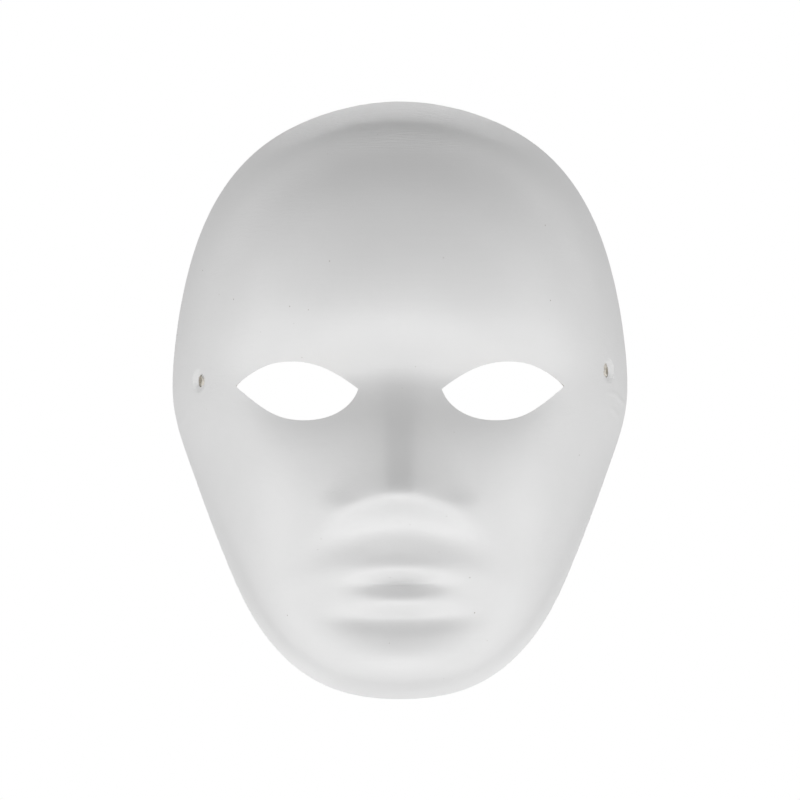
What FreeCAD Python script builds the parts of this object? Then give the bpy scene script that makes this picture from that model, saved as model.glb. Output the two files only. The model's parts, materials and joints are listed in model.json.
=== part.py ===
import FreeCAD, Part
import math
import os

from FreeCAD import Vector

# A full-face masquerade mask of layered paper with a primed white front, in mm, upright as worn:
# +Z up, the face looks along -Y, and the cut rim lies in the plane y = 0.

# Rim outline: reach from the centre every 15 degrees, from the forehead top down to the chin.
OUTLINE_STEP_DEG = 15.0
OUTLINE_REACH = [119.4, 118.2, 114.9, 107.1, 98.4, 93.1, 91.1, 87.8, 88.9, 96.0, 108.2, 117.7, 119.4]

# Dome height above the rim plane, as (share of the reach, height) out from the centre.
CROWN_HEIGHT = 66.0
FOREHEAD_FALL = [(0.2, 66.4), (0.4, 65.2), (0.6, 57.6), (0.75, 46.8), (0.85, 36.4), (0.93, 25.8), (1.0, 0.0)]
TEMPLE_FALL = [(0.2, 65.3), (0.4, 62.0), (0.6, 52.8), (0.75, 40.3), (0.85, 28.0), (0.93, 15.0), (1.0, 0.0)]
CHIN_FALL = [(0.2, 66.0), (0.4, 66.0), (0.6, 66.0), (0.75, 66.0), (0.86, 64.0), (0.92, 58.0), (0.965, 41.0), (1.0, 0.0)]

# Nose: ridge height over the dome down the face, half-width of its foot, and half-width of its flat back.
NOSE_RIDGE = [(34.0, 0.0), (18.0, 0.0), (8.0, 1.6), (-2.0, 6.0), (-11.0, 11.4), (-20.0, 17.4), (-29.0, 24.2),
              (-34.5, 28.2), (-37.5, 28.6), (-40.5, 24.2), (-45.0, 9.6), (-49.0, 2.2), (-53.0, 0.3), (-60.0, 0.0)]
NOSE_FOOT = [(34.0, 12.0), (8.0, 13.0), (-10.0, 20.5), (-25.0, 27.5), (-38.0, 30.5), (-50.0, 30.5), (-60.0, 30.5)]
NOSE_BACK_HALF = 5.2
NOSE_BACK_SOFTNESS = 1.3
NOSE_FOOT_SOFTNESS = 4.0
NOSE_BASE_DROP = 9.8

# Soft forms of the face: (x, z, spread in x, spread in z, height, drop at the ends). Those off the middle come in pairs.
BOW_HALF = 30.0
MIDDLE_FORMS = [
    (0.0, 9.0, 62.0, 16.5, -12.0, 0.0),
    (0.0, -66.0, 34.0, 27.0, 6.0, 0.0),
    (0.0, -66.4, 27.0, 7.0, 6.0, 2.6),
    (0.0, -72.2, 14.5, 3.2, -8.0, 0.4),
    (0.0, -80.2, 17.5, 5.2, 4.6, -1.2),
    (0.0, -85.9, 20.0, 4.4, -5.8, 0.0),
    (0.0, -105.0, 30.0, 14.0, 9.5, 0.0),
]
PAIRED_FORMS = [
    (40.0, 4.0, 21.0, 14.0, -3.0, 0.0),
    (38.0, 19.0, 20.0, 6.0, 0.8, 0.0),
    (50.0, -30.0, 24.0, 24.0, 5.0, 0.0),
    (23.0, -42.0, 7.5, 4.5, 1.8, 0.0),
]

# Layers, from the front: brushed primer, pressed sheets, and the last sheet pasted inside.
PRIMER_THICK = 0.3
OUTER_PAPER_THICK = 1.2
INNER_PAPER_THICK = 0.5

# Eye openings: corners and lids, as (distance from the middle, height).
EYE_INNER = (16.5, 4.4)
EYE_OUTER = (65.2, 5.5)
UPPER_LID = [(22.5, 8.6), (32.0, 13.4), (41.6, 15.2), (50.6, 14.3), (59.0, 10.4)]
LOWER_LID = [(20.8, -2.2), (28.5, -6.6), (37.3, -8.0), (47.5, -6.6), (56.2, -1.8)]

# Strap holes, punched by hand and not quite level: rim side of each temple.
STRAP_HOLE_R = 2.6
STRAP_HOLES = {"left": (83.3, 11.6), "right": (-80.3, 7.6)}
DIMPLE_R = 4.2
DIMPLE_DEPTH = 1.0
DIMPLE_BALL_R = (DIMPLE_R ** 2 + DIMPLE_DEPTH ** 2) / (2.0 * DIMPLE_DEPTH)

# Surface grid lines as (from, to, count): closer over the nose, the lips and the turn under the chin.
GRID_X = [(-100.0, -32.5, 27), (-32.5, 32.5, 44), (32.5, 100.0, 27)]
GRID_Z = [(-125.0, -105.0, 20), (-105.0, -30.0, 46), (-30.0, 127.5, 63)]
KEEP_HALF = 250.0
FORM_DEPTH = 110.0
# Seams that divide each layer's broad curved faces into panels, so that their volume is measured well.
PANEL_X = [-KEEP_HALF, -45.0, 0.0, 45.0, KEEP_HALF]
PANEL_Z = [-KEEP_HALF, -75.0, -40.0, 0.0, 60.0, KEEP_HALF]
SEAM_LAP = 8.0
PROBE = 0.05


def smooth_curve(stations):
    points = [Vector(at, value, 0.0) for at, value in sorted(stations)]
    curve = Part.BSplineCurve()
    curve.interpolate(Points=points, Parameters=[point.x for point in points])
    low = points[0].x
    high = points[-1].x
    return lambda at: curve.value(min(max(at, low), high)).y


def dome_curve(fall):
    mirrored = [(-share, height) for share, height in fall]
    inside = smooth_curve(mirrored + [(0.0, CROWN_HEIGHT)] + fall)
    end_slope = (inside(1.0) - inside(0.99)) / 0.01
    return lambda share: inside(share) if share <= 1.0 else end_slope * (share - 1.0) / (1.0 + 3.0 * (share - 1.0))


def outline_curve():
    half = [(OUTLINE_STEP_DEG * step, reach) for step, reach in enumerate(OUTLINE_REACH)]
    before = [(-angle, reach) for angle, reach in half[1:4]]
    after = [(360.0 - angle, reach) for angle, reach in half[-4:-1]]
    return smooth_curve(before + half + after)


reach_at = outline_curve()
forehead = dome_curve(FOREHEAD_FALL)
temple = dome_curve(TEMPLE_FALL)
chin = dome_curve(CHIN_FALL)
nose_ridge = smooth_curve(NOSE_RIDGE)
nose_foot = smooth_curve(NOSE_FOOT)


def dome_height(x, z):
    distance = math.hypot(x, z)
    if distance < PROBE:
        return CROWN_HEIGHT
    upward = z / distance
    share = distance / reach_at(math.degrees(math.acos(upward)))
    vertical = forehead(share) if upward > 0.0 else chin(share)
    return vertical * upward ** 2 + temple(share) * (1.0 - upward ** 2)


def swell(x, z, form):
    centre_x, centre_z, spread_x, spread_z, height, drop = form
    level = z + drop * (x / BOW_HALF) ** 2
    return height * math.exp(-((x - centre_x) / spread_x) ** 2 - ((level - centre_z) / spread_z) ** 2)


def soft_corner(distance, softness):
    return softness * math.log1p(math.exp(distance / softness))


def nose_height(x, z):
    level = z + NOSE_BASE_DROP * (x / BOW_HALF) ** 2
    flank = nose_foot(level) - NOSE_BACK_HALF
    past_back = soft_corner(abs(x) - NOSE_BACK_HALF, NOSE_BACK_SOFTNESS)
    past_foot = soft_corner(abs(x) - NOSE_BACK_HALF - flank, NOSE_FOOT_SOFTNESS)
    return nose_ridge(level) * (1.0 - (past_back - past_foot) / flank)


def face_height(x, z):
    height = dome_height(x, z) + nose_height(x, z)
    for form in MIDDLE_FORMS:
        height += swell(x, z, form)
    for form in PAIRED_FORMS:
        height += swell(abs(x), z, form)
    return height


def front_point(x, z):
    return Vector(x, -face_height(x, z), z)


def front_normal(x, z):
    along_x = front_point(x + PROBE, z) - front_point(x - PROBE, z)
    along_z = front_point(x, z + PROBE) - front_point(x, z - PROBE)
    return along_x.cross(along_z).normalize()


def grid_lines(stretches):
    lines = [stretches[0][0]]
    for start, end, count in stretches:
        lines += [start + (end - start) * (step + 1) / count for step in range(count)]
    return lines


def layer_surface(grid, depth):
    rows = [[point - normal * depth for point, normal in row] for row in grid]
    surface = Part.BSplineSurface()
    surface.interpolate(rows)
    return surface


def layer_patch(surface, cell):
    left, right, low, high = cell
    bounds = list(surface.bounds())
    if left > -KEEP_HALF:
        bounds[0] = surface.parameter(front_point(left - SEAM_LAP, 0.0))[0]
    if right < KEEP_HALF:
        bounds[1] = surface.parameter(front_point(right + SEAM_LAP, 0.0))[0]
    if low > -KEEP_HALF:
        bounds[2] = surface.parameter(front_point(0.0, low - SEAM_LAP))[1]
    if high < KEEP_HALF:
        bounds[3] = surface.parameter(front_point(0.0, high + SEAM_LAP))[1]
    patch = surface.copy()
    patch.segment(*bounds)
    return patch


def layer_form(surface, depth, cell, balls):
    left, right, low, high = cell
    block = layer_patch(surface, cell).toShape().extrude(Vector(0.0, 2.0 * FORM_DEPTH, 0.0))
    form = block.common(Part.makeBox(right - left, KEEP_HALF, high - low, Vector(left, -KEEP_HALF, low)))
    for centre in balls:
        form = form.cut(Part.makeSphere(DIMPLE_BALL_R + depth, centre))
    return form


def eye_cutter(side):
    corner_in = Vector(side * EYE_INNER[0], -FORM_DEPTH, EYE_INNER[1])
    corner_out = Vector(side * EYE_OUTER[0], -FORM_DEPTH, EYE_OUTER[1])
    edges = []
    for lid in (UPPER_LID, LOWER_LID):
        curve = Part.BSplineCurve()
        curve.interpolate([corner_in] + [Vector(side * x, -FORM_DEPTH, z) for x, z in lid] + [corner_out])
        edges.append(curve.toShape())
    return Part.Face(Part.Wire(edges)).extrude(Vector(0.0, FORM_DEPTH, 0.0))


def strap_cutter(x, z):
    normal = front_normal(x, z)
    start = front_point(x, z) + normal * DIMPLE_R
    return Part.makeCylinder(STRAP_HOLE_R, 4.0 * DIMPLE_R, start, -normal)


def main():
    os.makedirs("parts", exist_ok=True)
    xs = grid_lines(GRID_X)
    zs = grid_lines(GRID_Z)
    grid = [[(front_point(x, z), front_normal(x, z)) for z in zs] for x in xs]
    balls = []
    cutters = [eye_cutter(-1.0), eye_cutter(1.0)]
    for x, z in STRAP_HOLES.values():
        balls.append(front_point(x, z) + front_normal(x, z) * (DIMPLE_BALL_R - DIMPLE_DEPTH))
        cutters.append(strap_cutter(x, z))
    layers = [
        ("primer_coat", PRIMER_THICK),
        ("outer_paper_layer", OUTER_PAPER_THICK),
        ("inner_paper_layer", INNER_PAPER_THICK),
    ]
    columns = list(zip(PANEL_X, PANEL_X[1:]))
    rows = list(zip(PANEL_Z, PANEL_Z[1:]))
    cells = [(left, right, low, high) for left, right in columns for low, high in rows]
    depth = 0.0
    surface = layer_surface(grid, depth)
    outside = [layer_form(surface, depth, cell, balls) for cell in cells]
    for name, thick in layers:
        depth += thick
        surface = layer_surface(grid, depth)
        inside = [layer_form(surface, depth, cell, balls) for cell in cells]
        panels = [front.cut(back) for front, back in zip(outside, inside)]
        shape = panels[0].multiFuse(panels[1:]).cut(cutters)
        shape.exportStep("parts/" + name + ".step")
        print(name, shape.isValid(), len(shape.Solids), round(shape.Volume), shape.BoundBox)
        outside = inside


main()
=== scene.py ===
import json
import math
import random

import bmesh
import bpy
import numpy as np
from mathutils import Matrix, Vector, noise
from mathutils.bvhtree import BVHTree


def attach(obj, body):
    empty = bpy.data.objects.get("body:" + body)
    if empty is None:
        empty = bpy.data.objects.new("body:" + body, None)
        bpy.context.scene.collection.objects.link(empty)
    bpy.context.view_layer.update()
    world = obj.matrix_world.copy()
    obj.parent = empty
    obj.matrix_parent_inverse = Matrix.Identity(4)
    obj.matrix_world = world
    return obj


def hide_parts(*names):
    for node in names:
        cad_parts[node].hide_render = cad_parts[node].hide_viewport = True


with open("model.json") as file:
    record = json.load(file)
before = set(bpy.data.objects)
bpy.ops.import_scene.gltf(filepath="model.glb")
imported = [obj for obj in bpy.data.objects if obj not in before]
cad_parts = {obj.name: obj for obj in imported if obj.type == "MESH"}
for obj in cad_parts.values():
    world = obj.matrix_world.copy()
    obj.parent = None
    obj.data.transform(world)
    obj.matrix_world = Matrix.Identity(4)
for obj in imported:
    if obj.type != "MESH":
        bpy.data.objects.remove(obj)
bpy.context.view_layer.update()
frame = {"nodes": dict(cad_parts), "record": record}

MM = 0.001
MIDDLE = (0.0, -0.04, 0.0)
PRIMER_THICK = 0.3 * MM
OUTER_PAPER_THICK = 1.2 * MM
INNER_PAPER_THICK = 0.5 * MM
STRIP_THICK = 0.26 * MM
DIMPLE_REACH = 4.2 * MM
DIMPLE_DEPTH = 1.0 * MM
SOFT_LIP = 0.08 * MM
ROW_CROWDING = 1.22
random.seed(4)

# Where the eye openings are, and how far from an opening's middle it is looked for, bridged and cut.
# FAR_AWAY stands for the gap at a point that is near no opening.
EYE_MIDDLE = (41.0 * MM, 4.6 * MM)
EYE_HALF_WIDTH = 26.0 * MM
EYE_HALF_HEIGHT = 15.0 * MM
EYE_BRIDGED = 27.0 * MM
EYE_CUT = 40.0 * MM
HOLE_CUT = 12.0 * MM
FAR_AWAY = 1.0

# Where a look along Y starts, how shallow a hit counts as the rim plane, and where the rim is looked for.
LOOK_FROM_FRONT = -0.3
LOOK_FROM_BEHIND = 0.1
RIM_PLANE = 0.03 * MM
RIM_DEPTH = 1.5 * MM
RIM_SEARCH = (0.07, 0.14)

# Columns and rows of the sheets, and where they are divided more finely.
FINE_SHEET = (176, 220)
PAPER_SHEET = (130, 164)
HOLE_FINE = 8.0 * MM
HOLE_FINEST = 6.5 * MM
HOLE_CLEAR_OF_CREASES = 8.5 * MM
HOLE_CLEAR_OF_EDGES = 9.0 * MM
EDGE_FINE = 1.3 * MM

# Surface finish: waves in the paper, strips inside and softened corners. Angles are in radians, and a
# facing is how far a normal points along Y, from 0 to 1.
BROAD_WAVE = 34.0 * MM
SMALL_WAVE = 9.0 * MM
BROAD_HEIGHT = 0.13 * MM
SMALL_HEIGHT = 0.035 * MM
STRIP_COUNT = 46
PRIMER_SOFTNESS = 0.12 * MM
CORNER_ANGLE = 1.0
SHARP_ANGLE = 0.75
STEEP_FACING = 0.62
CUT_FACING = 0.02

# Sockets of Blender's colour mixer.
SHARE = 0
COLOUR_LOW = 6
COLOUR_HIGH = 7
COLOUR_OUT = 2


# ---------------------------------------------------------------- reading the moulded form

def merged_copy(node):
    bm = bmesh.new()
    bm.from_mesh(frame["nodes"][node].data)
    bmesh.ops.remove_doubles(bm, verts=bm.verts, dist=0.001 * MM)
    bm.normal_update()
    return bm


def surface_of(node):
    bm = merged_copy(node)
    tree = BVHTree.FromBMesh(bm)
    bm.free()
    return tree


def eye_reach(side):
    """Distance of the eye opening's cut edge from its centre, by angle."""
    bm = merged_copy("outer_paper_layer")
    centre = Vector((side * EYE_MIDDLE[0], EYE_MIDDLE[1]))
    edge = {}
    for face in bm.faces:
        middle = face.calc_center_median()
        beside = abs(middle.x - centre.x) < EYE_HALF_WIDTH
        level = abs(middle.z - centre.y) < EYE_HALF_HEIGHT
        if beside and level and abs(face.normal.y) < CUT_FACING:
            for vert in face.verts:
                away = Vector((vert.co.x, vert.co.z)) - centre
                edge[round(math.atan2(away.y, away.x), 4)] = away.length
    bm.free()
    turns = sorted(edge)
    reaches = [edge[turn] for turn in turns]
    return centre, lambda turn: float(np.interp(turn, turns, reaches, period=2.0 * math.pi))


eyes = [eye_reach(-1.0), eye_reach(1.0)]
strap_holes = [mount for mount in frame["record"]["mounts"] if mount["kind"] == "bore"]


class Form:
    """One side of a packed layer, read by looking along Y at it. Openings are bridged over."""

    def __init__(self, node, from_front):
        self.tree = surface_of(node)
        self.start = LOOK_FROM_FRONT if from_front else LOOK_FROM_BEHIND
        self.look = Vector((0.0, 1.0 if from_front else -1.0, 0.0))
        self.turns = np.linspace(-math.pi, math.pi, 361)
        self.reaches = [self.find_rim(turn) for turn in self.turns]
        self.patches = [self.patch_round(hole) for hole in strap_holes]

    def seen(self, x, z):
        place = self.tree.ray_cast(Vector((x, self.start, z)), self.look)[0]
        return place if place is not None and place.y < -RIM_PLANE else None

    def find_rim(self, turn):
        low, high = RIM_SEARCH
        for _ in range(18):
            reach = (low + high) / 2.0
            if self.seen(reach * math.sin(turn), reach * math.cos(turn)) is None:
                high = reach
            else:
                low = reach
        return low

    def rim(self, turn):
        return float(np.interp(turn, self.turns, self.reaches))

    def patch_round(self, hole):
        """The curve of the face across a strap hole, fitted to a ring of places outside its dimple."""
        middle = Vector(hole["pos_m"])
        axis = Vector(hole["axis"])
        side = axis.cross(Vector((0.0, 0.0, 1.0))).normalized()
        up = side.cross(axis).normalized()
        terms = []
        heights = []
        for ring in (DIMPLE_REACH + 0.8 * MM, DIMPLE_REACH + 2.6 * MM):
            for step in range(24):
                turn = math.tau * step / 24.0
                near = middle + side * ring * math.cos(turn) + up * ring * math.sin(turn)
                place = self.seen(near.x, near.z)
                if place is None:
                    continue
                away = place - middle
                a, b = away.dot(side), away.dot(up)
                terms.append([1.0, a, b, a * a, a * b, b * b])
                heights.append(away.dot(axis))
        fit = np.linalg.lstsq(np.array(terms), np.array(heights), rcond=None)[0]
        return middle, axis, side, up, fit

    def over_hole(self, x, z):
        """The face and its dimple at a place within reach of a strap hole, or None."""
        for middle, axis, side, up, fit in self.patches:
            if Vector((x - middle.x, z - middle.z)).length > DIMPLE_REACH + 1.5 * MM:
                continue
            place = Vector((x, middle.y, z))
            for _ in range(12):
                away = place - middle
                a, b = away.dot(side), away.dot(up)
                wanted = float(fit @ [1.0, a, b, a * a, a * b, b * b])
                place.y += (wanted - away.dot(axis)) / axis.y * 0.7
            away = place - middle
            across = math.hypot(away.dot(side), away.dot(up))
            if across < DIMPLE_REACH + 0.6 * MM:
                return place - axis * dimple(across)
        return None

    def press(self, co):
        """Puts a point onto this side of the layer: along Y, or along the bore in a strap hole's dimple."""
        x, z = co.x, co.z
        place = self.over_hole(x, z)
        if place is not None:
            return place
        place = self.seen(x, z)
        if place is not None:
            return place
        for centre, _ in eyes:
            away = Vector((x, z)) - centre
            if away.length < EYE_BRIDGED:
                return self.bridged(x, z, away)
        return Vector((x, 0.0, z))

    def bridged(self, x, z, away):
        """A place inside an eye opening, as deep as the nearest paper outward from the middle of the eye."""
        step = (away.normalized() if away.length > 0.0 else Vector((0.0, 1.0))) * 0.25 * MM
        for count in range(1, 130):
            place = self.seen(x + step.x * count, z + step.y * count)
            if place is not None:
                return Vector((x, place.y, z))
        return Vector((x, -60.0 * MM, z))


def dimple(across):
    """How deep the thumb-pressed dimple round a strap hole is, at a distance from its middle."""
    ball = (DIMPLE_REACH ** 2 + DIMPLE_DEPTH ** 2) / (2.0 * DIMPLE_DEPTH)
    depth = math.sqrt(max(ball ** 2 - across ** 2, 0.0)) - (ball - DIMPLE_DEPTH)
    return SOFT_LIP * math.log1p(math.exp(min(depth / SOFT_LIP, 60.0)))


# ---------------------------------------------------------------- openings

def eye_gap(co, eye):
    """How far a point lies outside an eye opening's cut edge; negative inside."""
    centre, reach = eye
    away = Vector((co.x, co.z)) - centre
    turn = math.atan2(away.y, away.x)
    edge = reach(turn)
    ahead = reach(turn + 0.01)
    slant = math.atan2(ahead - edge, 0.01 * edge)
    return (away.length - edge) * math.cos(slant)


def hole_gap(co, hole):
    """How far a point lies outside a strap hole's wall; negative inside."""
    middle = Vector(hole["pos_m"])
    axis = Vector(hole["axis"])
    away = co - middle
    across = away - axis * away.dot(axis)
    return across.length - hole["dims"]["r_mm"] * MM


def from_hole(co, hole):
    return (co - Vector(hole["pos_m"])).length


def near_hole(co, reach):
    return any(from_hole(co, hole) < reach for hole in strap_holes)


def gaps(co):
    """How far a point lies outside the nearest opening."""
    flat = Vector((co.x, co.z))
    found = [eye_gap(co, eye) for eye in eyes if (flat - eye[0]).length < EYE_CUT]
    found += [hole_gap(co, hole) for hole in strap_holes if from_hole(co, hole) < HOLE_CUT]
    return min(found, default=FAR_AWAY)


def open_gaps(bm, press, gap):
    """Cuts every opening along the line where gap() is zero."""
    crossing = {}

    def sides(face):
        """For each corner of a face: 0 on the cut, 1 outside the opening, -1 inside it."""
        return [0 if vert in crossing else (1 if gap(vert.co) > 0.0 else -1) for vert in face.verts]

    for edge in bm.edges:
        start, end = edge.verts
        first, last = gap(start.co), gap(end.co)
        if first * last >= 0.0:
            continue
        low, high = (start.co, end.co) if first < 0.0 else (end.co, start.co)
        for _ in range(12):
            middle = (low + high) / 2.0
            if gap(middle) < 0.0:
                low = middle
            else:
                high = middle
        for vert in (start, end):
            away = (vert.co - high).length
            near_end = away < (start.co - end.co).length * 0.501
            if near_end and (vert not in crossing or away < crossing[vert][0]):
                crossing[vert] = (away, high.copy())
    for vert, (_, place) in crossing.items():
        vert.co = press(place)
    split = []
    for face in bm.faces:
        found = sides(face)
        if 1 in found and -1 in found:
            pair = [vert for vert, side in zip(face.verts, found) if side == 0]
            split.append((face, pair))
    for face, pair in split:
        if len(pair) == 2:
            bmesh.utils.face_split(face, pair[0], pair[1])
    inside = []
    for face in bm.faces:
        found = sides(face)
        if -1 in found or (1 not in found and gap(face.calc_center_median()) < 0.0):
            inside.append(face)
    bmesh.ops.delete(bm, geom=inside, context="FACES")


# ---------------------------------------------------------------- the pressed sheet

def disc_place(u, v):
    """Maps a square to the mask's outline, with rows closer together where the wall turns away."""
    across = u * math.sqrt(1.0 - v * v / 2.0)
    up = v * math.sqrt(1.0 - u * u / 2.0)
    share = min(math.hypot(across, up), 1.0)
    return math.sin(ROW_CROWDING * share) / math.sin(ROW_CROWDING), math.atan2(across, up)


def pressed_sheet(columns, rows, form):
    """A whole sheet pressed onto one side of a layer, with its edge in the rim plane."""
    bm = bmesh.new()
    bmesh.ops.create_grid(bm, x_segments=columns, y_segments=rows, size=1.0)
    for vert in bm.verts:
        share, turn = disc_place(vert.co.x, vert.co.y)
        reach = share * form.rim(turn)
        vert.co = form.press(Vector((reach * math.sin(turn), 0.0, reach * math.cos(turn))))
        if vert.is_boundary:
            vert.co.y = 0.0
    return bm


def refine(bm, form, where):
    """Divides the sheet once more where where() says so, and presses the new places onto the form."""
    edges = [edge for edge in bm.edges if where((edge.verts[0].co + edge.verts[1].co) / 2.0)]
    known = set(bm.verts)
    bmesh.ops.subdivide_edges(bm, edges=edges, cuts=1, use_grid_fill=True)
    for vert in bm.verts:
        if vert not in known:
            vert.co = form.press(vert.co)


# ---------------------------------------------------------------- hand-made unevenness

def uneven(co):
    """The slow waviness left by hand-pressed paper under the primer."""
    broad = noise.noise(co / BROAD_WAVE)
    small = noise.noise(co / SMALL_WAVE + Vector((7.0, 3.0, 1.0)))
    return BROAD_HEIGHT * broad + SMALL_HEIGHT * small


# Creases near the rim, in mm: where each starts and ends as (x, z), and how far it stands up.
CREASES = [
    ((85.5, 3.0), (90.0, -2.5), 0.22),
    ((81.5, 3.5), (87.5, 2.0), 0.14),
    ((84.0, -2.0), (88.0, -8.0), 0.16),
    ((-85.0, -4.0), (-88.0, -12.0), 0.14),
    ((-60.0, 92.0), (-70.0, 83.0), 0.14),
    ((52.0, -88.0), (58.0, -80.0), 0.12),
]
CREASE_WIDTH = 0.9 * MM


def crease(co):
    """How far the creases lift the face at a place."""
    lift = 0.0
    for start, end, height in CREASES:
        first = Vector(start) * MM
        along = Vector(end) * MM - first
        away = Vector((co.x, co.z)) - first
        share = min(max(away.dot(along) / along.length_squared, 0.0), 1.0)
        beside = (away - along * share).length
        fade = math.sin(math.pi * min(max(share, 0.02), 0.98))
        lift += height * MM * fade * math.exp(-(beside / CREASE_WIDTH) ** 2)
    return lift


def near_crease(co):
    """True by the rim on the wearer's left, where three of the creases lie together."""
    return co.x > 76.0 * MM and abs(co.z + 1.0 * MM) < 11.0 * MM


def torn_strips(count):
    """Strips of torn paper pasted across the inside.

    Each one is (centre, direction, half length, half width, shade).
    """
    strips = []
    for _ in range(count):
        centre = Vector((random.uniform(-85.0, 85.0), random.uniform(-110.0, 110.0))) * MM
        turn = random.uniform(0.0, math.pi)
        half_length = random.uniform(30.0, 48.0) * MM
        half_width = random.uniform(11.0, 17.0) * MM
        along = Vector((math.cos(turn), math.sin(turn)))
        strips.append((centre, along, half_length, half_width, random.random()))
    return strips


def strip_cover(co, strip, index):
    """1 under the strip, 0 beyond its torn edge."""
    centre, along, half_length, half_width, _ = strip
    away_x = co.x - centre.x
    away_z = co.z - centre.y
    ahead = abs(away_x * along.x + away_z * along.y)
    beside = abs(away_z * along.x - away_x * along.y)
    inside = min(half_length - ahead, half_width - beside)
    if abs(inside) < 3.0 * MM:
        inside += 1.8 * MM * noise.noise(co / (6.0 * MM) + Vector((index, 0.0, 0.0)))
        inside += 0.7 * MM * noise.noise(co / (2.2 * MM) + Vector((0.0, index, 0.0)))
    return min(max(inside / (0.8 * MM) + 0.5, 0.0), 1.0)


def strip_layers(co, strips):
    """How thick the pasted strips lie at a place, and the shade of the top one."""
    thick = 0.0
    shade = 0.5
    for index, strip in enumerate(strips):
        cover = strip_cover(co, strip, index)
        if cover > 0.0:
            thick = thick * (1.0 - 0.35 * cover) + STRIP_THICK * cover
            shade = shade * (1.0 - cover) + strip[4] * cover
    return thick, shade


# ---------------------------------------------------------------- one layer of the mask

def front_outward(bm, from_front):
    """Turns the sheet's faces to the front, or to the wearer where from_front is False."""
    bmesh.ops.recalc_face_normals(bm, faces=bm.faces)
    lean = sum(face.normal.y * face.calc_area() for face in bm.faces)
    if (lean > 0.0) == from_front:
        bmesh.ops.reverse_faces(bm, faces=bm.faces)


def give_thickness(bm, thick, back_form, from_front):
    """Doubles the sheet and moves the copy through the layer.

    The outer rim stays in its plane. An eye's cut edge runs straight back, and a strap hole's is square
    to the face.
    """
    front_outward(bm, from_front)
    bm.normal_update()
    plan = {}
    for vert in bm.verts:
        if vert.is_boundary and vert.co.y > -RIM_DEPTH:
            radial = Vector((vert.co.x, 0.0, vert.co.z)).normalized()
            place = vert.co + radial * (-thick if from_front else thick)
            place.y = 0.0
        elif vert.is_boundary and not near_hole(vert.co, HOLE_CLEAR_OF_EDGES):
            place = vert.co.copy()
            place.y = back_form.press(vert.co).y
        else:
            place = vert.co - vert.normal * thick
            place.y = min(place.y, 0.0)
        plan[vert.co.to_tuple(7)] = place
    front = list(bm.faces)
    made = bmesh.ops.extrude_face_region(bm, geom=front, use_keep_orig=True)["geom"]
    for item in made:
        if isinstance(item, bmesh.types.BMVert):
            item.co = plan[item.co.to_tuple(7)]
    bmesh.ops.recalc_face_normals(bm, faces=bm.faces)


def soften_corners(bm, width):
    bm.normal_update()
    corners = [edge for edge in bm.edges if edge.is_manifold and edge.calc_face_angle() > CORNER_ANGLE]
    bmesh.ops.bevel(bm, geom=corners, offset=width, offset_type="OFFSET", segments=3, profile=0.5,
                    affect="EDGES", material=-1, clamp_overlap=True)


def finish_piece(bm, name, node, material):
    bm.normal_update()
    for face in bm.faces:
        face.smooth = True
    for edge in bm.edges:
        if edge.is_manifold and edge.calc_face_angle() > SHARP_ANGLE:
            edge.smooth = False
    mesh = bpy.data.meshes.new(name)
    bm.to_mesh(mesh)
    bm.free()
    piece = bpy.data.objects.new(name, mesh)
    bpy.context.scene.collection.objects.link(piece)
    mesh.materials.append(material)
    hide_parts(node)
    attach(piece, "root")


def smooth_steep_parts(bm):
    """Evens out the places that face well away from the front."""
    bm.normal_update()
    steep = [vert for vert in bm.verts if abs(vert.normal.y) < STEEP_FACING and not vert.is_boundary]
    for _ in range(3):
        bmesh.ops.smooth_vert(bm, verts=steep, factor=0.5,
                              use_axis_x=True, use_axis_y=True, use_axis_z=True)


def opened_sheet(size, form):
    """A pressed sheet with its eye openings and strap holes cut, finer near holes, creases and edges."""
    bm = pressed_sheet(*size, form)
    smooth_steep_parts(bm)
    refine(bm, form, lambda co: near_hole(co, HOLE_FINE))
    refine(bm, form, lambda co: near_hole(co, HOLE_FINEST))
    refine(bm, form, lambda co: near_crease(co) and not near_hole(co, HOLE_CLEAR_OF_CREASES))
    refine(bm, form, lambda co: abs(gaps(co)) < EDGE_FINE and not near_hole(co, HOLE_CLEAR_OF_EDGES))
    open_gaps(bm, form.press, gaps)
    return bm


def raise_relief(bm, relief):
    """Lifts each place of the sheet along its normal by relief(), except on the sheet's edges."""
    bm.normal_update()
    moves = [(vert, vert.normal * relief(vert)) for vert in bm.verts if not vert.is_boundary]
    for vert, move in moves:
        vert.co += move


# ---------------------------------------------------------------- materials

def plain_material(name):
    material = bpy.data.materials.new(name)
    material.use_nodes = True
    tree = material.node_tree
    return material, tree, tree.nodes["Principled BSDF"]


def node(tree, kind, **settings):
    made = tree.nodes.new(kind)
    for key, value in settings.items():
        if key in made.inputs:
            made.inputs[key].default_value = value
        else:
            setattr(made, key, value)
    return made


def join(tree, source, output, target, entry):
    tree.links.new(source.outputs[output], target.inputs[entry])


def stretched(tree, scale):
    place = node(tree, "ShaderNodeTexCoord")
    mapping = node(tree, "ShaderNodeMapping")
    mapping.inputs["Scale"].default_value = scale
    join(tree, place, "Object", mapping, "Vector")
    return mapping


def mix_colours(tree, low, high):
    mix = node(tree, "ShaderNodeMix", data_type="RGBA")
    mix.inputs[COLOUR_LOW].default_value = low
    mix.inputs[COLOUR_HIGH].default_value = high
    return mix


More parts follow.
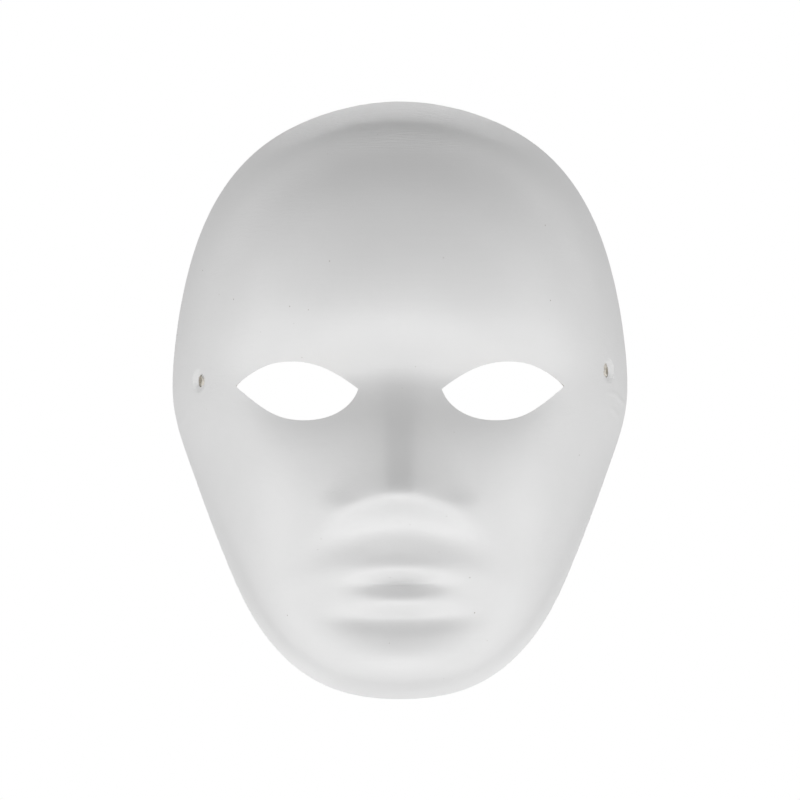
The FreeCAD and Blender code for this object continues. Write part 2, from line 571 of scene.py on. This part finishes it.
def rim_strokes(tree):
    """Dry brush marks that run along the forehead's top edge."""
    place = node(tree, "ShaderNodeTexCoord")
    parts = node(tree, "ShaderNodeSeparateXYZ")
    join(tree, place, "Object", parts, "Vector")
    band = node(tree, "ShaderNodeMapRange")
    band.inputs["From Min"].default_value = 0.098
    band.inputs["From Max"].default_value = 0.108
    join(tree, parts, "Z", band, "Value")
    dry = node(tree, "ShaderNodeTexNoise", Scale=70.0, Detail=4.0, Roughness=0.7)
    join(tree, stretched(tree, (1.2, 8.0, 26.0)), "Vector", dry, "Vector")
    height = node(tree, "ShaderNodeMath", operation="MULTIPLY")
    join(tree, dry, "Fac", height, 0)
    join(tree, band, "Result", height, 1)
    bump = node(tree, "ShaderNodeBump", Strength=1.0, Distance=0.0006)
    join(tree, height, "Value", bump, "Height")
    return bump


def primer_material():
    material, tree, skin = plain_material("white_primer")
    cloud = node(tree, "ShaderNodeTexNoise", Scale=38.0, Detail=4.0, Roughness=0.55)
    join(tree, stretched(tree, (1.0, 1.0, 1.0)), "Vector", cloud, "Vector")
    tone = mix_colours(tree, (0.775, 0.775, 0.775, 1.0), (0.82, 0.82, 0.82, 1.0))
    join(tree, cloud, "Fac", tone, SHARE)
    dust = node(tree, "ShaderNodeTexVoronoi", Scale=210.0)
    join(tree, stretched(tree, (1.0, 1.0, 1.0)), "Vector", dust, "Vector")
    fleck = node(tree, "ShaderNodeMapRange")
    fleck.inputs["From Min"].default_value = 0.035
    fleck.inputs["From Max"].default_value = 0.065
    fleck.inputs["To Min"].default_value = 1.0
    fleck.inputs["To Max"].default_value = 0.0
    join(tree, dust, "Distance", fleck, "Value")
    rare = node(tree, "ShaderNodeTexNoise", Scale=60.0, Detail=1.0)
    join(tree, stretched(tree, (1.0, 1.0, 1.0)), "Vector", rare, "Vector")
    seldom = node(tree, "ShaderNodeMapRange")
    seldom.inputs["From Min"].default_value = 0.6
    seldom.inputs["From Max"].default_value = 0.66
    join(tree, rare, "Fac", seldom, "Value")
    both = node(tree, "ShaderNodeMath", operation="MULTIPLY")
    join(tree, fleck, "Result", both, 0)
    join(tree, seldom, "Result", both, 1)
    speckled = mix_colours(tree, (0.8, 0.8, 0.8, 1.0), (0.42, 0.40, 0.37, 1.0))
    join(tree, tone, COLOUR_OUT, speckled, COLOUR_LOW)
    join(tree, both, "Value", speckled, SHARE)
    join(tree, speckled, COLOUR_OUT, skin, "Base Color")
    sheen = node(tree, "ShaderNodeMapRange")
    sheen.inputs["To Min"].default_value = 0.44
    sheen.inputs["To Max"].default_value = 0.56
    patches = node(tree, "ShaderNodeTexNoise", Scale=70.0, Detail=5.0, Roughness=0.6)
    join(tree, stretched(tree, (1.0, 1.0, 1.0)), "Vector", patches, "Vector")
    join(tree, patches, "Fac", sheen, "Value")
    join(tree, sheen, "Result", skin, "Roughness")
    strokes = node(tree, "ShaderNodeTexNoise", Scale=60.0, Detail=3.0, Roughness=0.6)
    join(tree, stretched(tree, (0.35, 4.0, 14.0)), "Vector", strokes, "Vector")
    stroke_bump = node(tree, "ShaderNodeBump", Strength=0.13, Distance=0.0004)
    join(tree, strokes, "Fac", stroke_bump, "Height")
    join(tree, rim_strokes(tree), "Normal", stroke_bump, "Normal")
    grain = node(tree, "ShaderNodeTexNoise", Scale=900.0, Detail=3.0, Roughness=0.7)
    join(tree, stretched(tree, (1.0, 1.0, 1.0)), "Vector", grain, "Vector")
    grain_bump = node(tree, "ShaderNodeBump", Strength=0.2, Distance=0.0002)
    join(tree, grain, "Fac", grain_bump, "Height")
    join(tree, stroke_bump, "Normal", grain_bump, "Normal")
    join(tree, grain_bump, "Normal", skin, "Normal")
    return material


def paper_material(name, low, high, strip_attribute):
    material, tree, skin = plain_material(name)
    cloud = node(tree, "ShaderNodeTexNoise", Scale=55.0, Detail=6.0, Roughness=0.65)
    join(tree, stretched(tree, (1.0, 1.0, 1.0)), "Vector", cloud, "Vector")
    tone = mix_colours(tree, low, high)
    join(tree, cloud, "Fac", tone, SHARE)
    shade = tone
    if strip_attribute:
        strip = node(tree, "ShaderNodeAttribute", attribute_name=strip_attribute)
        shade = node(tree, "ShaderNodeMix", data_type="RGBA", blend_type="MULTIPLY")
        shade.inputs[SHARE].default_value = 1.0
        paste = node(tree, "ShaderNodeMapRange")
        paste.inputs["To Min"].default_value = 0.86
        paste.inputs["To Max"].default_value = 1.06
        join(tree, strip, "Fac", paste, "Value")
        join(tree, tone, COLOUR_OUT, shade, COLOUR_LOW)
        join(tree, paste, "Result", shade, COLOUR_HIGH)
    join(tree, shade, COLOUR_OUT, skin, "Base Color")
    skin.inputs["Roughness"].default_value = 0.9
    skin.inputs["Specular IOR Level"].default_value = 0.25
    fibres = node(tree, "ShaderNodeTexNoise", Scale=260.0, Detail=5.0, Roughness=0.7, Distortion=2.5)
    join(tree, stretched(tree, (1.0, 1.0, 2.6)), "Vector", fibres, "Vector")
    bump = node(tree, "ShaderNodeBump", Strength=0.35, Distance=0.0004)
    join(tree, fibres, "Fac", bump, "Height")
    join(tree, bump, "Normal", skin, "Normal")
    return material


# ---------------------------------------------------------------- the three layers

front_form = Form("primer_coat", True)
primer_back = Form("primer_coat", False)
paper_form = Form("outer_paper_layer", True)
paper_back = Form("outer_paper_layer", False)
inside_form = Form("inner_paper_layer", False)
inside_front = Form("inner_paper_layer", True)


def primed_front():
    bm = opened_sheet(FINE_SHEET, front_form)
    front_outward(bm, True)
    raise_relief(bm, lambda vert: uneven(vert.co) + crease(vert.co))
    give_thickness(bm, PRIMER_THICK, primer_back, True)
    soften_corners(bm, PRIMER_SOFTNESS)
    finish_piece(bm, "primed_front", "primer_coat", primer_material())


def pressed_paper():
    bm = opened_sheet(PAPER_SHEET, paper_form)
    front_outward(bm, True)
    give_thickness(bm, OUTER_PAPER_THICK, paper_back, True)
    material = paper_material("outer_paper", (0.62, 0.58, 0.51, 1.0), (0.74, 0.71, 0.65, 1.0), None)
    finish_piece(bm, "pressed_paper", "outer_paper_layer", material)


def pasted_inside():
    bm = opened_sheet(FINE_SHEET, inside_form)
    front_outward(bm, False)
    strips = torn_strips(STRIP_COUNT)
    shades = bm.verts.layers.float.new("strip_shade")
    thick = {}
    for vert in bm.verts:
        thick[vert], vert[shades] = strip_layers(vert.co, strips)
    raise_relief(bm, lambda vert: thick[vert])
    give_thickness(bm, INNER_PAPER_THICK, inside_front, False)
    material = paper_material("inner_paper", (0.66, 0.62, 0.54, 1.0), (0.78, 0.75, 0.68, 1.0), "strip_shade")
    finish_piece(bm, "pasted_inside", "inner_paper_layer", material)


primed_front()
pressed_paper()
pasted_inside()


# ---------------------------------------------------------------- floor, light and camera

def pale_board():
    """A white board that looks evenly lit to the camera, however far it is from the lamps."""
    material, tree, skin = plain_material("pale_board")
    skin.inputs["Base Color"].default_value = (0.82, 0.82, 0.82, 1.0)
    skin.inputs["Roughness"].default_value = 0.9
    lit = node(tree, "ShaderNodeEmission", Strength=0.58)
    choose = node(tree, "ShaderNodeMixShader")
    path = node(tree, "ShaderNodeLightPath")
    join(tree, path, "Is Camera Ray", choose, 0)
    join(tree, skin, "BSDF", choose, 1)
    join(tree, lit, "Emission", choose, 2)
    join(tree, choose, "Shader", tree.nodes["Material Output"], "Surface")
    return material


def pale_floor():
    bm = bmesh.new()
    bmesh.ops.create_grid(bm, x_segments=2, y_segments=2, size=8.0)
    bmesh.ops.translate(bm, verts=bm.verts, vec=(0.0, 0.0, -1.45))
    mesh = bpy.data.meshes.new("pale_floor")
    bm.to_mesh(mesh)
    bm.free()
    floor = bpy.data.objects.new("pale_floor", mesh)
    bpy.context.scene.collection.objects.link(floor)
    mesh.materials.append(pale_board())


def softbox(name, place, width, height, watts):
    data = bpy.data.lights.new(name, "AREA")
    data.shape = "RECTANGLE"
    data.size = width
    data.size_y = height
    data.energy = watts
    lamp = bpy.data.objects.new(name, data)
    bpy.context.scene.collection.objects.link(lamp)
    lamp.location = place
    lamp.rotation_mode = "QUATERNION"
    lamp.rotation_quaternion = (Vector(MIDDLE) - Vector(place)).to_track_quat("-Z", "Y")


def white_surround(fill):
    world = bpy.data.worlds.new("white_surround")
    bpy.context.scene.world = world
    world.use_nodes = True
    tree = world.node_tree
    tree.nodes.clear()
    output = tree.nodes.new("ShaderNodeOutputWorld")
    seen = tree.nodes.new("ShaderNodeBackground")
    soft = tree.nodes.new("ShaderNodeBackground")
    choose = tree.nodes.new("ShaderNodeMixShader")
    path = tree.nodes.new("ShaderNodeLightPath")
    seen.inputs["Color"].default_value = (1.0, 1.0, 1.0, 1.0)
    seen.inputs["Strength"].default_value = 1.0
    soft.inputs["Color"].default_value = (1.0, 1.0, 1.0, 1.0)
    soft.inputs["Strength"].default_value = fill
    tree.links.new(path.outputs["Is Camera Ray"], choose.inputs[0])
    tree.links.new(soft.outputs[0], choose.inputs[1])
    tree.links.new(seen.outputs[0], choose.inputs[2])
    tree.links.new(choose.outputs[0], output.inputs[0])


pale_floor()
white_surround(0.38)
softbox("light_from_below", (0.0, -0.75, -1.25), 1.4, 0.9, 3.3)
softbox("light_low_front", (0.0, -1.3, -0.8), 1.4, 0.8, 6.6)
for side in (-1.0, 1.0):
    softbox("light_side", (side * 1.35, -0.42, -0.1), 0.8, 1.2, 6.2)
    softbox("light_side_front", (side * 1.0, -1.0, -0.2), 0.8, 1.2, 1.2)
softbox("light_top_rim", (0.0, 1.4, 0.85), 0.8, 0.2, 4.5)
softbox("light_above", (0.0, 0.8, 1.2), 0.8, 0.2, 1.6)
softbox("light_behind", (0.0, 1.9, -0.3), 1.2, 1.2, 8.0)

camera_data = bpy.data.cameras.new("camera")
camera_data.sensor_width = 36.0
camera_data.lens = 562.5
camera_data.clip_start = 0.1
camera_data.clip_end = 60.0
camera = bpy.data.objects.new("camera", camera_data)
bpy.context.scene.collection.objects.link(camera)
camera.location = (0.0, -5.0, 0.0)
camera.rotation_euler = (math.pi / 2.0, 0.0, 0.0)
bpy.context.scene.camera = camera
bpy.context.scene.view_settings.view_transform = "Standard"
